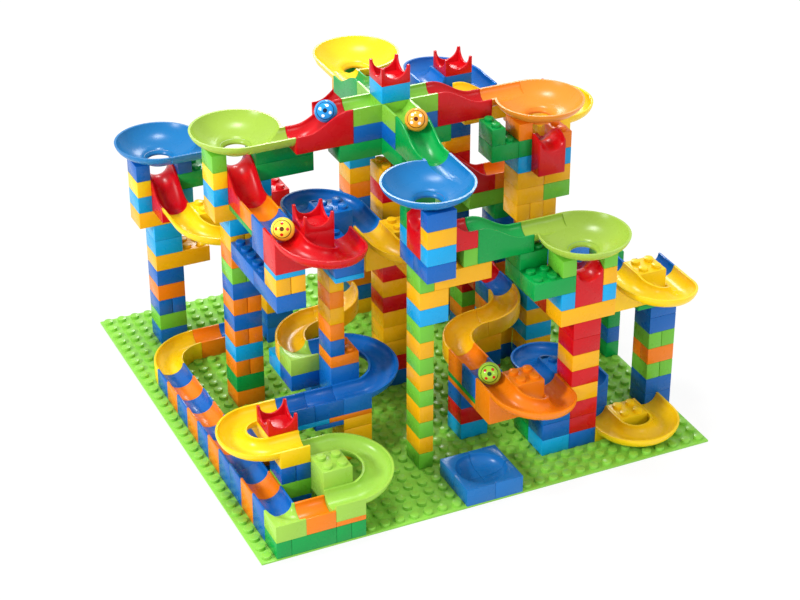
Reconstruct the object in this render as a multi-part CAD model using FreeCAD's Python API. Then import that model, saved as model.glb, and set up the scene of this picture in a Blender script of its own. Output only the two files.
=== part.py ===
import FreeCAD, Part
import math
import os

os.makedirs("parts", exist_ok=True)

V = FreeCAD.Vector

# A marble run of building bricks on a square studded baseplate.
# Places are counted in studs from the plate's near left corner, x to the right and y to the
# back, and heights in brick levels above the plate's top. The origin is the middle of the
# plate's underside.

# ---- Driving dimensions, in millimetres ----
stud_pitch = 16.0
brick_height = 19.2
thin_height = 5.8            # a thin plate between bricks
thin_limit = 0.5             # in levels: anything lower is named a plate, not a brick
stud_diameter = 9.4
stud_height = 4.5
plate_studs = 32             # studs along each side of the baseplate
plate_thickness = 2.4
track_wall = 2.5             # each side wall of a channel, at its rim
groove_depth = 11.5
groove_facets = 5            # flats that make up the round of a groove
bend_steps = 5               # straight lengths that make up a quarter of a bend
round_sides = 16             # flats round a funnel or a dish
stud_sides = 8
ball_diameter = 24.8
ball_clearance = 0.3
funnel_reach = 3             # studs from the middle of a funnel to its rim
funnel_wall = 2.4
funnel_foot = 6.0            # width of the flat ring under the bowl, round the neck
neck_depth = 5.2             # how far the neck hangs below the funnel's foot
throat_height = 1.2          # of the hole's edge above the funnel's foot
neck_clearance = 0.2         # between the neck and the columns on either side
knee_radius = 0.72           # where a funnel's bowl bends, as a share of its inner radius
knee_depth = 0.95            # and as a share of the groove's depth
crown_wall = 2.4
crown_tip = 3.0              # width of the blunt tips, along each side
crown_facets = 12            # flats round the circle that hollows each side of a crown
bowl_radius = 27.0
bowl_depth = 12.0
dish_floor = 0.3             # radius of the dish's flat floor, as a share of bowl_radius
dish_knee = 0.8              # radius where the dish bends
dish_knee_height = 0.4       # and its height, as a share of bowl_depth
ramp_step = 0.1              # levels between one block of the ramp and the next
resting_slope = 0.1          # least upward part of the normal of a flat that carries a ball
overshoot = 1.0              # how far a cutting shape reaches past what it cuts
ball_sides = 12              # flats round a ball, and half as many from pole to pole

# ---- Sizes that follow ----
track_width = 2 * stud_pitch
groove_width = track_width - 2 * track_wall
thin = thin_height / brick_height
plate_middle = plate_studs / 2
turn_radius = track_width            # middle of the groove of a U turn
shell_depth = groove_depth + track_wall
funnel_radius = funnel_reach * stud_pitch
neck_radius = stud_pitch - neck_clearance

# The cross where every ball starts: the studs of its middle and the level of its foot.
CROSS_PLACE = (16, 16, 15)
cross_x, cross_y, cross_level = CROSS_PLACE

# Rims of the two kinds of slide: studs along from the high end, and levels above the foot.
STEEP = ((0, 2.0), (0.9, 2.33), (1.8, 2.0), (2.7, 1.33), (4, 1.0))
GENTLE = ((0, 2.0), (0.8, 1.95), (2.6, 1.12), (4, 1.0))

nodes = {}


def add(node, shape):
    nodes.setdefault(node, []).append(shape)


def at(x, y, level=0.0):
    """The point at a stud position and a brick level."""
    return V((x - plate_middle) * stud_pitch, (y - plate_middle) * stud_pitch,
             plate_thickness + level * brick_height)


def put(shape, x, y, level, quarter_turns=0):
    """Turn a piece about its own upright axis and stand it at its place."""
    placed = shape.copy()
    placed.rotate(V(0, 0, 0), V(0, 0, 1), 90 * quarter_turns)
    placed.translate(at(x, y, level))
    return placed


# ---- Solids of flat faces ----
def polygon(points):
    return Part.Face(Part.makePolygon(points + points[:1]))


def patch(a, b, c, d):
    """One flat face through four corners, or two triangles where they don't lie flat."""
    if abs((b - a).cross(c - a).dot(d - a)) < 1e-6:
        return [polygon([a, b, c, d])]
    return [polygon([a, b, c]), polygon([a, c, d])]


def skin(rows):
    """A closed solid over a row of sections that each list the same number of corners."""
    faces = [polygon(rows[0]), polygon(rows[-1])]
    for low, high in zip(rows, rows[1:]):
        for i, corner_point in enumerate(low):
            following = (i + 1) % len(low)
            faces += patch(corner_point, low[following], high[following], high[i])
    shell = Part.makeShell(faces)
    shell.sewShape()
    solid = Part.makeSolid(shell)
    if solid.Volume < 0:
        solid.reverse()
    return solid


def ring(radius, z, sides=round_sides, middle=V(0, 0, 0)):
    """The corners of a regular polygon round the upright axis through middle."""
    angles = [2 * math.pi * (i + 0.5) / sides for i in range(sides)]
    return [middle + V(radius * math.cos(a), radius * math.sin(a), z) for a in angles]


def lathe(outline, sides=round_sides):
    """A round solid with flat sides, from radii and heights listed upwards."""
    return skin([ring(radius, z, sides) for radius, z in outline])


def stud(middle):
    return polygon(ring(stud_diameter / 2, 0, stud_sides, middle)).extrude(V(0, 0, stud_height))


def one(shape):
    """The single solid of a fused or cut shape."""
    return shape.removeSplitter().Solids[0]


# ---- Bricks ----
def box(x, y, level, wide, deep, tall):
    low, high = at(x, y, level), at(x + wide, y + deep, level + tall)
    size = high - low
    return Part.makeBox(size.x, size.y, size.z, low)


def brick(colour, x, y, level, wide, deep, tall=1.0):
    """A brick or a thin plate, in the node of its size and colour."""
    small, large = sorted((wide, deep))
    node = f"plates_{colour}" if tall < thin_limit else f"bricks_{small}x{large}_{colour}"
    add(node, box(x, y, level, wide, deep, tall))


def tower(x, y, level, wide, deep, colours):
    """Bricks of one footprint stacked upwards. Returns the level of the top."""
    for colour in colours.split():
        brick(colour, x, y, level, wide, deep)
        level += 1
    return level


# ---- Track sections ----
def groove_points(half_width, depth):
    """The round of a groove from rim to rim, as points of a half ellipse below the rim."""
    steps = [math.pi * i / groove_facets for i in range(groove_facets + 1)]
    return [(-half_width * math.cos(t), -depth * math.sin(t)) for t in steps]


def section(height):
    """A closed channel section, rim at z 0, centred on x 0 in the XZ plane."""
    half = track_width / 2
    outline = [(-half, 0.0)] + groove_points(groove_width / 2, groove_depth)
    outline += [(half, 0.0), (half, -height), (-half, -height)]
    return [V(x, 0, z) for x, z in outline]


def shell_section():
    """A closed section of a bend's rounded shell, rim at z 0."""
    half = track_width / 2
    underside = groove_points(half, shell_depth)[-2:0:-1]
    outline = [(-half, 0.0)] + groove_points(groove_width / 2, groove_depth) + [(half, 0.0)]
    return [V(x, 0, z) for x, z in outline + underside]


def air(clear, reach=track_width / 2 + overshoot):
    """The space in and above a groove, rim at z 0, reaching past both walls."""
    outline = [(-reach, 0.0)] + groove_points(groove_width / 2, groove_depth)
    outline += [(reach, 0.0), (reach, clear), (-reach, clear)]
    return [V(x, 0, z) for x, z in outline]


def swept(outline, move, centre, axis, angle, rise=0.0):
    """A section carried round an axis in straight lengths. move is its place at the start."""
    steps = max(1, round(bend_steps * abs(angle) / 90))
    rows = []
    for i in range(steps + 1):
        turned = FreeCAD.Rotation(axis, angle * i / steps)
        lift = V(0, 0, rise * i / steps)
        rows.append([centre + turned.multVec(point + move - centre) + lift for point in outline])
    return skin(rows)


def ball_rise(fall=0.0):
    """Height of a ball's middle above the rim, just clear of every flat of its groove.
    fall is how far the groove drops per unit of its length."""
    points = groove_points(groove_width / 2, groove_depth)
    rise = []
    for (x0, z0), (x1, z1) in zip(points, points[1:]):
        length = math.hypot(x1 - x0, z1 - z0)
        nx, nz = -(z1 - z0) / length, (x1 - x0) / length
        reach = (ball_diameter / 2 + ball_clearance) * math.sqrt(1 + (nz * fall) ** 2)
        if nz > resting_slope:
            rise.append((reach + nx * x0 + nz * z0) / nz)
    return max(rise)


# ---- Straight track, along +Y from y 0 and centred on x 0, its foot at z 0 ----
def channel(length, height):
    """A straight, level channel block."""
    run = length * stud_pitch
    profile = polygon(section(height))
    profile.translate(V(0, 0, height))
    return profile.extrude(V(0, run, 0))


def corner(height):
    """A 2 x 2 channel block whose groove turns from its +X side to its +Y side."""
    half = track_width / 2
    body = Part.makeBox(track_width, track_width, height, V(-half, -half, 0))
    opening = air(overshoot, groove_width / 2)
    cutter = swept(opening, V(half, 0, 0), V(0, 0, 0), V(0, 0, 1), 90)
    cutter.rotate(V(0, 0, 0), V(0, 0, 1), 180)
    cutter.translate(V(half, half, height))
    return one(body.cut(cutter))


def slide(stations):
    """A slide with upright sides, its rim passing through (studs along, levels up) stations."""
    rows = []
    for along, rim in stations:
        place = V(0, along * stud_pitch, rim * brick_height)
        rows.append([point + place for point in section(rim * brick_height)])
    return skin(rows)


def fall_of(stations):
    """How far the middle span of a slide drops per unit of its length."""
    (start, high), (end, low) = stations[1:3]
    return (high - low) * brick_height / ((end - start) * stud_pitch)


# ---- Curved track, about the upright axis at the origin, its foot at z 0 ----
def bend(outline, rim, radius, angle, rise=0.0):
    """A bend anticlockwise from the +X side, its groove at the radius, rising evenly."""
    return swept(outline, V(radius, 0, rim), V(0, 0, 0), V(0, 0, 1), angle, rise)


def quarter_bend(height):
    """A quarter turn of track whose groove's middle runs three studs from its axis."""
    return bend(section(height), height, turn_radius + stud_pitch, 90)


def half_bend(rise=0.0):
    """The rounded half turn of a U turn, round the -Y side, rising from its -X end."""
    arc = bend(shell_section(), brick_height, turn_radius, 180, rise)
    arc.rotate(V(0, 0, 0), V(0, 0, 1), 180)
    return arc


def leg(height, side):
    """A straight leg of a U turn, towards +Y on the given side of the axis."""
    body = channel(2, height)
    body.translate(V(side * turn_radius, 0, 0))
    return body


def open_leg(rim, side):
    """A leg of a U turn that is only a rounded shell, with nothing under it."""
    profile = polygon(shell_section())
    profile.translate(V(side * turn_radius, 0, rim))
    return profile.extrude(V(0, 2 * stud_pitch, 0))


def stud_block(height, bare):
    """The stud block between the legs of a U turn."""
    side = 2 * stud_pitch
    block = Part.makeBox(side, side, height, V(-side / 2, 0, 0))
    knobs = []
    if bare:
        for x in (-0.5, 0.5):
            for y in (0.5, 1.5):
                place = V(x * stud_pitch, y * stud_pitch, height)
                knobs.append(stud(place))
    return [block] + knobs


def level_turn(bare=True):
    """A U turn on one level: the bend swings round -Y and its legs run towards +Y."""
    pieces = [leg(brick_height, side) for side in (-1, 1)] + stud_block(brick_height, bare)
    return one(half_bend().multiFuse(pieces))


def falling_turn(entry, bare=True, panel=True):
    """A U turn that falls one level from its entry leg, at x entry (-1 or 1), to its exit leg.
    panel is whether the entry leg reaches down to the foot."""
    high = leg(2 * brick_height, 1) if panel else open_leg(2 * brick_height, 1)
    pieces = [high, leg(brick_height, -1)] + stud_block(2 * brick_height, bare)
    turn = one(half_bend(brick_height).multiFuse(pieces))
    return turn if entry > 0 else turn.mirror(V(0, 0, 0), V(1, 0, 0))


# ---- Funnels, crowns and the bowl tile ----
def funnel(height):
    """A round bowl with a hole in its middle and a track that enters it along its edge."""
    hole = neck_radius - funnel_wall
    foot = neck_radius + funnel_foot
    inside = funnel_radius - funnel_wall
    body = lathe([(neck_radius, -neck_depth), (neck_radius, 0), (foot, 0),
                  (inside, height - shell_depth / 2), (funnel_radius, height)])
    hollow = lathe([(hole, -2 * neck_depth), (hole, throat_height),
                    (inside * knee_radius, height - groove_depth * knee_depth),
                    (inside, height), (inside, height + overshoot)])
    lip = polygon(shell_section()).extrude(V(0, funnel_radius, 0))
    groove = polygon(air(brick_height)).extrude(V(0, funnel_radius + overshoot, 0))
    for piece in (lip, groove):
        piece.rotate(V(0, 0, 0), V(0, 0, 1), -90)
        piece.translate(V(0, -turn_radius, height))
    return one(body.fuse(lip).cut(hollow).cut(groove))


def square(side, z):
    """The corners of a square round the upright axis."""
    return ring(side / math.sqrt(2), z, 4)


def crown():
    """A hollow square crown with a blunt spike on each corner and hollow curves between."""
    side = track_width
    inner_side = side - 2 * crown_wall
    outer = skin([square(side, 0), square(side, brick_height)])
    inner = skin([square(inner_side, crown_wall), square(inner_side, 2 * brick_height)])
    shape = outer.cut(inner)
    scoop_ring = ring(side / 2 - crown_tip, -side, crown_facets)
    scoop = polygon(scoop_ring).extrude(V(0, 0, 2 * side))
    for axis in (V(0, 1, 0), V(1, 0, 0)):
        cutter = scoop.copy()
        cutter.rotate(V(0, 0, 0), axis, 90)
        cutter.translate(V(0, 0, brick_height))
        shape = shape.cut(cutter)
    return one(shape)


def bowl_quarter(turns):
    """One of four 2 x 2 bricks that share a round dish."""
    side = 2 * stud_pitch
    block = Part.makeBox(side, side, brick_height)
    floor = brick_height - bowl_depth
    dish = lathe([(bowl_radius * dish_floor, floor),
                  (bowl_radius * dish_knee, floor + bowl_depth * dish_knee_height),
                  (bowl_radius, brick_height), (bowl_radius, brick_height + overshoot)])
    quarter = one(block.cut(dish))
    return put(quarter, 16, 2, 0, turns)


# ---- The cross where every ball starts ----
def plus(level, arm):
    """A cross of two beams, two studs wide and reaching arm studs from the middle."""
    along = box(cross_x - arm, cross_y - 1, level, 2 * arm, 2, 1)
    across = box(cross_x - 1, cross_y - arm, level, 2, 2 * arm, 1)
    return one(along.fuse(across))


def cross():
    add("cross_foot_dark_green", plus(cross_level, 4))
    add("cross_middle_blue", plus(cross_level + 1, 3))
    top = plus(cross_level + 2, 3)
    groove = polygon(air(brick_height)).extrude(V(0, 3 * stud_pitch, 0))
    for turn in range(4):
        cutter = groove.copy()
        cutter.translate(V(0, stud_pitch, 0))
        top = top.cut(put(cutter, cross_x, cross_y, cross_level + 3, turn))
    add("cross_channels_lime", one(top))
    brick("sky_blue", cross_x - 1, cross_y - 1, cross_level + 3, 2, 2)


# ---- Placing the track ----
def track(colour, x, y, level, top, quarter=0):
    """A 2 x 2 channel block from the middle of one end, its foot at level and rim at top."""
    add(f"channels_{colour}", put(channel(2, (top - level) * brick_height), x, y, level, quarter))


def channels():
    """The straight channel blocks that join turns, bends and slides."""
    low = 3 + 2 * thin
    along_x, along_y = 3, 0
    track("orange", 3, 1, 1, 2, along_x)
    track("orange", 5, 25, 0, 1 + ramp_step, along_x)
    track("blue", 7, 25, 0, 1 + ramp_step, along_x)
    track("blue", 5, 9, 3, 4, along_x)
    track("blue", 7, 9, 3, 4, along_x)
    track("blue", 6, 11, 12, 14, along_y)
    track("orange", 6, 13, 13, 14, along_y)
    track("blue", 18, 5, low, 5, along_y)
    track("orange", 18, 7, low, 5, along_y)
    track("blue", 24, 15, 4, 5, along_y)
    track("blue", 32, 7, 7, 8, along_y)
    track("orange", 26, 21, 9, 10, along_x)
    add("corners_lime", put(corner(brick_height), 2, 1, 1))
    add("corners_lime", put(corner(brick_height), 8, 13, 4))


def slides():
    steep = slide(STEEP)
    # middle of the high end, level of the foot, quarter turns from running towards +Y
    for x, y, level, turns in ((6, 19, 13, 2), (13, 6, 13, 3), (26, 12, 13, 0), (19, 26, 13, 1),
                               (24, 3, 9, 0), (4, 29, 9, 2), (24, 21, 4, 2), (22, 21, 9, 3)):
        add("steep_slides_red", put(steep, x, y, level, turns))
    gentle = slide(GENTLE)
    for colour, x, y, level, turns in (("red", 13, 16, 16, 1), ("red", 19, 16, 16, 3),
                                       ("dark_green", 16, 13, 16, 2),
                                       ("dark_green", 16, 19, 16, 0),
                                       ("dark_green", 17, 6, 12, 3), ("yellow", 23, 20, 14, 3)):
        add(f"gentle_slides_{colour}", put(gentle, x, y, level, turns))


def funnels():
    bowl = funnel(brick_height)
    for colour, x, y, level, turns in (("lime", 6, 18, 16, 0), ("blue", 14, 6, 16, 1),
                                       ("orange", 26, 14, 16, 2), ("yellow", 18, 26, 16, 3),
                                       ("lime", 24, 4, 12, 2), ("blue", 4, 28, 12, 0)):
        add(f"funnels_{colour}", put(bowl, x, y, level, turns))


def turns():
    """The U turns. Each is placed by the middle of its bend."""
    left, right = falling_turn(-1), falling_turn(1)
    left_plain, right_plain = falling_turn(-1, False), falling_turn(1, False)
    for colour, shape, x, y, level, quarter in (
            ("lime", right, 7, 3, 1 + thin, 1),
            ("blue", right_plain, 11, 11, 3, 1),
            ("red", left_plain, 8, 9, 12, 0),
            ("blue", right, 11, 15, 11, 2),
            ("amber", left, 15, 11, 10, 0),
            ("orange", left, 20, 3, 3, 0),
            ("blue", right, 24, 7, 2, 2),
            ("yellow", left, 30, 5, 7, 0),
            ("blue", right_plain, 26, 9, 8, 2),
            ("yellow", falling_turn(-1, True, False), 6, 23, 8, 0),
            ("blue", right_plain, 24, 24, 14, 2)):
        add(f"turns_{colour}", put(shape, x, y, level, quarter))
    add("turns_yellow", put(level_turn(False), 3, 7, 3, 3))
    add("turns_yellow", put(level_turn(), 28, 3, 0, 0))
    add("turns_yellow", put(level_turn(False), 29, 18, 14, 1))


def bends():
    """Quarter bends, placed by their axis."""
    shape = quarter_bend(brick_height)
    for x, y, quarter in ((11, 14, 1), (11, 20, 3), (21, 9, 1), (21, 15, 3)):
        add("bends_amber", put(shape, x, y, 4, quarter))
    add("bends_yellow", put(quarter_bend((1 + ramp_step) * brick_height), 5, 22, 0, 1))


def ramp():
    """Ten channel blocks down the left side, each a tenth of a level lower than the last."""
    colours = "blue orange blue blue orange blue orange blue orange blue".split()
    rim = 2.0
    for number, colour in enumerate(colours):
        shape = channel(2, rim * brick_height)
        add(f"ramp_blocks_{colour}", put(shape, 2, 2 + 2 * number, 0, 0))
        rim -= ramp_step


def crowns():
    for x, y, level in ((4, 7, 4), (8, 10, 14), (16, 16, 19), (24, 23, 16), (28, 18, 15)):
        add("crowns_red", put(crown(), x, y, level))


# ---- Towers and loose bricks ----
def front_left():
    for x, wide in ((1, 1), (2, 3), (5, 1), (6, 1)):
        brick("dark_green", x, 0, 0, wide, 2)
    brick("orange", 5, 0, 1, 2, 2, thin)
    tower(3, 4, 0, 2, 2, "blue lime blue")
    tower(3, 8, 0, 2, 2, "blue orange blue")
    brick("sky_blue", 5, 8, 3 - thin, 3, 2, thin)
    brick("orange", 8, 8, 3 - thin, 3, 2, thin)
    brick("blue", 7, 8, 3 - 2 * thin, 2, 2, thin)
    tower(9, 8, 0, 2, 2, "amber amber")
    brick("amber", 9, 8, 2, 2, 2, 1 - thin)
    brick("blue", 7, 12, 3, 2, 2)
    brick("sky_blue", 7, 14, 3, 2, 2)
    tower(10, 16, 0, 2, 2, "blue amber red lime")


def thin_tower():
    """The slim tower that stands on the large blue turn and carries the red one."""
    brick("orange", 9, 10, 5, 2, 2, 1 - thin)
    top = tower(9, 10, 6 - thin, 1, 2, "blue orange amber orange amber")
    brick("sky_blue", 9, 9, top, 2, 4, thin)
    brick("blue", 9, 9, 11, 2, 4)
    brick("sky_blue", 5, 9, 12 - thin, 2, 2, thin)
    brick("amber", 5, 9, 11 - thin, 2, 2)
    brick("blue", 5, 9, 10 - thin, 2, 4)
    brick("blue", 5, 13, 10 - thin, 2, 4)
    brick("dark_green", 5, 13, 13 - thin, 2, 4, thin)


def blue_funnel_tower():
    tower(13, 5, 0, 1, 2, "lime amber lime amber lime amber lime amber lime")
    tower(13, 5, 9, 2, 2, "sky_blue amber")
    brick("lime", 13, 5, 11, 1, 2)
    brick("amber", 14, 5, 11, 4, 2)
    brick("blue", 13, 4, 12, 2, 4)
    brick("lime", 16, 5, 12, 1, 2)
    tower(13, 4, 13, 2, 1, "sky_blue amber blue")
    tower(13, 7, 13, 2, 1, "sky_blue dark_green dark_green")


def lime_funnel_tower():
    tower(5, 17, 0, 2, 2, "orange dark_green orange sky_blue orange blue "
                        "orange blue lime orange amber sky_blue")
    brick("amber", 4, 17, 12, 4, 2)
    tower(4, 17, 13, 1, 2, "sky_blue yellow lime")
    brick("sky_blue", 7, 17, 13, 1, 2)
    brick("dark_green", 7, 17, 14, 4, 2)
    brick("dark_green", 7, 17, 15, 4, 2)


def left_funnel_tower():
    tower(3, 27, 0, 2, 2, "blue lime blue orange blue")
    brick("amber", 3, 27, 5, 4, 2)
    tower(3, 27, 6, 2, 2, "sky_blue sky_blue")
    brick("amber", 2, 27, 8, 4, 2)
    tower(2, 27, 9, 1, 2, "sky_blue yellow blue")
    brick("sky_blue", 5, 27, 9, 1, 2)
    brick("dark_green", 5, 27, 10, 3, 2)
    brick("blue", 5, 27, 11, 1, 2)
    tower(10, 24, 0, 2, 2, "blue blue amber blue amber amber blue")
    brick("amber", 8, 24, 7, 4, 2)
    tower(10, 24, 8, 2, 2, "amber red")


def right_funnel_tower():
    tower(23, 3, 0, 2, 2, "blue red red amber red amber red")
    brick("red", 23, 3, 7, 2, 6)
    brick("amber", 22, 3, 8, 4, 2)
    brick("sky_blue", 22, 3, 9, 1, 2)
    brick("dark_green", 20, 3, 10, 3, 2)
    brick("lime", 22, 3, 11, 1, 2)
    tower(25, 3, 9, 1, 2, "sky_blue amber lime")
    brick("dark_green", 20, 5, 10, 2, 2)
    brick("dark_green", 20, 5, 11, 2, 2)
    tower(21, 3, 0, 2, 2, "sky_blue blue blue")
    tower(21, 5, 0, 2, 2, "dark_green dark_green")
    tower(25, 5, 0, 2, 2, "blue blue")


def right_side():
    tower(30, 5, 0, 2, 2, "blue blue lime orange lime blue")
    brick("blue", 30, 5, 6, 2, 2, 1 - thin)
    brick("dark_green", 29, 5, 7 - thin, 4, 4, thin)
    tower(plate_studs - 1, 12, 0, 1, 2, "dark_green blue dark_green blue lime blue dark_green")
    tower(17, 7, 0, 2, 2, "sky_blue red blue")
    brick("orange", 17, 5, 3, 2, 4, thin)
    brick("dark_green", 17, 5, 3 + thin, 2, 4, thin)
    tower(20, 11, 0, 2, 2, "orange red blue amber")
    tower(23, 15, 0, 2, 2, "blue amber sky_blue orange")
    tower(23, 19, 0, 2, 2, "blue orange lime red")
    tower(26, 20, 0, 2, 2, "blue amber blue orange blue amber blue dark_green")
    brick("lime", 24, 20, 8, 4, 2)


def orange_funnel_tower():
    tower(25, 13, 0, 2, 2, "blue amber sky_blue amber sky_blue lime orange amber blue orange")
    tower(24, 13, 10, 2, 2, "amber amber")
    brick("amber", 26, 13, 10, 1, 2)
    brick("lime", 26, 13, 11, 2, 2)
    brick("amber", 24, 13, 12, 4, 2)
    tower(24, 13, 13, 1, 2, "sky_blue dark_green orange")
    tower(27, 13, 13, 1, 2, "sky_blue orange")
    brick("dark_green", 22, 13, 14, 2, 2)
    brick("dark_green", 22, 13, 15, 1, 2)
    tower(27, 17, 0, 2, 2, "blue orange lime blue amber red blue "
                           "amber lime blue orange blue amber")
    brick("amber", 27, 17, 13, 2, 4)
    tower(23, 22, 0, 2, 2, "blue amber lime blue orange amber blue "
                           "lime amber blue red amber blue lime")


def yellow_funnel_tower():
    tower(17, 25, 0, 2, 2, "amber blue orange lime blue amber "
                           "orange blue orange amber sky_blue lime")
    brick("blue", 17, 24, 12, 2, 4)
    tower(17, 24, 13, 2, 1, "sky_blue amber dark_green")
    tower(17, 27, 13, 2, 1, "sky_blue amber dark_green")


def middle_tower():
    """The tower under the cross, with the beams that carry the two upper turns."""
    tower(15, 15, 0, 2, 2, "blue red amber amber amber red amber red")
    brick("amber", 14, 15, 8, 4, 2)
    tower(15, 15, 9, 2, 2, "sky_blue amber amber red amber")
    brick("amber", 16, 15, 14, 1, 2)
    brick("amber", 15, 11, 9, 2, 4)
    brick("blue", 12, 13, 10, 4, 2)


# ---- Balls ----
def ball():
    """A closed ball of flat faces, small enough to lie inside the true ball."""
    radius = ball_diameter / 2
    bands = ball_sides // 2
    tilts = [math.pi * (band + 0.5) / bands for band in range(bands)]
    return lathe([(radius * math.sin(t), -radius * math.cos(t)) for t in tilts], ball_sides)


def rim_at(along):
    """Level of a gentle slide's rim, studs along from its high end, within its middle span."""
    start, high = GENTLE[1]
    return cross_level + 1 + high - (along - start) * fall_of(GENTLE) * stud_pitch / brick_height


def balls():
    """Each ball rests in its own groove: colour, x, y, level of the rim there, fall of the groove."""
    fall = fall_of(GENTLE)
    for colour, x, y, rim, slant in (("blue", 11.5, 16, rim_at(1.5), fall),
                                     ("orange", 16, 11.95, rim_at(1.05), fall),
                                     ("yellow", 6, 10.1, 14, 0), ("green", 18, 5, 5, 0)):
        place = at(x, y, rim) + V(0, 0, ball_rise(slant))
        shape = ball()
        shape.translate(place)
        add(f"ball_{colour}", shape)


def write():
    for name, shapes in nodes.items():
        whole = shapes[0] if len(shapes) == 1 else Part.makeCompound(shapes)
        whole.exportStep(f"parts/{name}.step")


add("baseplate", Part.makeBox(plate_studs * stud_pitch, plate_studs * stud_pitch, plate_thickness,
                              at(0, 0) - V(0, 0, plate_thickness)))
ramp()
channels()
bends()
turns()
slides()
funnels()
crowns()
cross()
for number in range(4):
    add("bowl_tile_blue", bowl_quarter(number))
front_left()
thin_tower()
blue_funnel_tower()
lime_funnel_tower()
left_funnel_tower()
right_funnel_tower()
right_side()
orange_funnel_tower()
yellow_funnel_tower()
middle_tower()
balls()
write()
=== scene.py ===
import math
from contextlib import contextmanager

import bmesh
import bpy
from mathutils import Matrix, Vector
from mathutils.bvhtree import BVHTree


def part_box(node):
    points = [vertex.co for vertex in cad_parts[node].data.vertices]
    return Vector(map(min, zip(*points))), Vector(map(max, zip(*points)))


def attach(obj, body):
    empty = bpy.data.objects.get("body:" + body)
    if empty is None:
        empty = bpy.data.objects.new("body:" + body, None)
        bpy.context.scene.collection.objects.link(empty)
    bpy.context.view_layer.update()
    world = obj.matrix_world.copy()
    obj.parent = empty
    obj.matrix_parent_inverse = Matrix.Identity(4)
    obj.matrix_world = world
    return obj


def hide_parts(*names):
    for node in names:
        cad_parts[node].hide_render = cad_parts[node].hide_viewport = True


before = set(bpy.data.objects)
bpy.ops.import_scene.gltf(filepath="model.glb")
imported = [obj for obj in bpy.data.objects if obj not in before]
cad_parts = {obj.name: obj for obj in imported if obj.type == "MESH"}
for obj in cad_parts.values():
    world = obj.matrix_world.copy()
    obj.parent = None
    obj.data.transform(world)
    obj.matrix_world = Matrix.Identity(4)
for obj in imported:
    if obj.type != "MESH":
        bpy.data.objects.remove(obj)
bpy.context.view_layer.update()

# ---- Sizes, in metres; the plate's own box gives the stud pitch and the height of its top ----
PLATE_STUDS = 32
plate_low, plate_high = (Vector(corner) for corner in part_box("baseplate"))
PITCH = (plate_high.x - plate_low.x) / PLATE_STUDS
LEVEL = 1.2 * PITCH
THIN = 5.8 / 19.2                    # a thin plate, in levels
STUD_RADIUS = 0.0050
STUD_HEIGHT = 0.0036
WALL = 0.0025
DEPTH = 0.0115                       # of a groove below its rim
SHELL = DEPTH + WALL                 # height of a bend's rounded shell
HALF = PITCH                         # half the width of a piece of track
TURN = 2 * PITCH                     # middle of a U turn's groove
FUNNEL_RADIUS = 3 * PITCH
FUNNEL_WALL = 0.0024
NECK_RADIUS = PITCH - 0.0002
NECK_DEPTH = 0.0052                  # how far the neck hangs below the funnel's foot
FUNNEL_FOOT = NECK_RADIUS + 0.006
CROWN_WALL = 0.0024
CROWN_TIP = 0.003                    # width of the blunt tips, along each side
DISH_RADIUS = 0.027
DISH_DEPTH = 0.012
GROOVE_STEPS = 18                    # flats of a groove's round
EDGE = 0.0007                        # rounding of a moulded edge
LARGE_EDGE = 0.0009                  # of the slides', bends' and funnels' rims
SEAM = 0.0002                        # half the gap between two bricks side by side
SMALL = 1e-5
RAMP_STEP = 0.1                      # levels between one block of the ramp and the next
CROSS_PLACE = (16, 16, 15)           # studs of the cross's middle and the level of its foot
DISH_PLACE = (16, 2)                 # studs of the dish tile's middle
# The rim of a steep slide, in studs along and levels: a crest, then a fall to one level.
CREST_ALONG, CREST_RISE, FALL_LENGTH = 0.9, 0.33, 2.7
COLOURS = {
    "red": (0.60, 0.002, 0.007),
    "blue": (0.003, 0.12, 0.47),
    "yellow": (0.94, 0.62, 0.006),
    "amber": (0.86, 0.43, 0.003),
    "orange": (0.85, 0.21, 0.004),
    "lime": (0.16, 0.53, 0.038),
    "dark_green": (0.001, 0.33, 0.060),
    "sky_blue": (0.002, 0.36, 0.74),
    "grass_green": (0.25, 0.60, 0.065),
}
# Lighter shades for some pieces: partly a paler plastic, as of the lime track, and partly painted light,
# brightened against the shade over the amber bends and turns and for the painted highlights on the bowls
# and the dish.
PALE_AND_PAINTED_LIGHT = {
    "bends_amber": (0.90, 0.50, 0.006),
    "turns_amber": (0.90, 0.50, 0.006),
    "turns_blue": (0.004, 0.14, 0.51),
    "cross_channels_lime": (0.24, 0.56, 0.050),
    "bowl_tile_blue": (0.008, 0.16, 0.48),
    "turns_lime": (0.33, 0.60, 0.070),
    "corners_lime": (0.33, 0.60, 0.070),
    "funnels_lime": (0.33, 0.50, 0.055),
    "funnels_blue": (0.006, 0.17, 0.44),
    "funnels_orange": (0.84, 0.27, 0.025),
    "funnels_yellow": (0.90, 0.63, 0.012),
}


def spot(x, y, level=0.0):
    """A place in studs from the plate's near left corner and levels above its top."""
    return Vector((plate_low.x + x * PITCH, plate_low.y + y * PITCH, plate_high.z + level * LEVEL))


# ---- Working in Blender ----
def activate(*objects):
    """Select these objects only, the first of them active."""
    bpy.ops.object.select_all(action="DESELECT")
    for obj in objects:
        obj.select_set(True)
    bpy.context.view_layer.objects.active = objects[0]


@contextmanager
def editing(obj):
    """Edit mode on one object, with all of it selected at the start."""
    activate(obj)
    bpy.ops.object.mode_set(mode="EDIT")
    bpy.ops.mesh.select_all(action="SELECT")
    yield
    bpy.ops.object.mode_set(mode="OBJECT")


def pick_points(obj, test):
    """In edit mode, select the vertices whose place passes the test, and what lies between."""
    bpy.ops.mesh.select_all(action="DESELECT")
    mesh = bmesh.from_edit_mesh(obj.data)
    for vert in mesh.verts:
        vert.select = test(vert.co)
    mesh.select_flush_mode()
    mesh.select_flush(True)
    bmesh.update_edit_mesh(obj.data)


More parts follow.
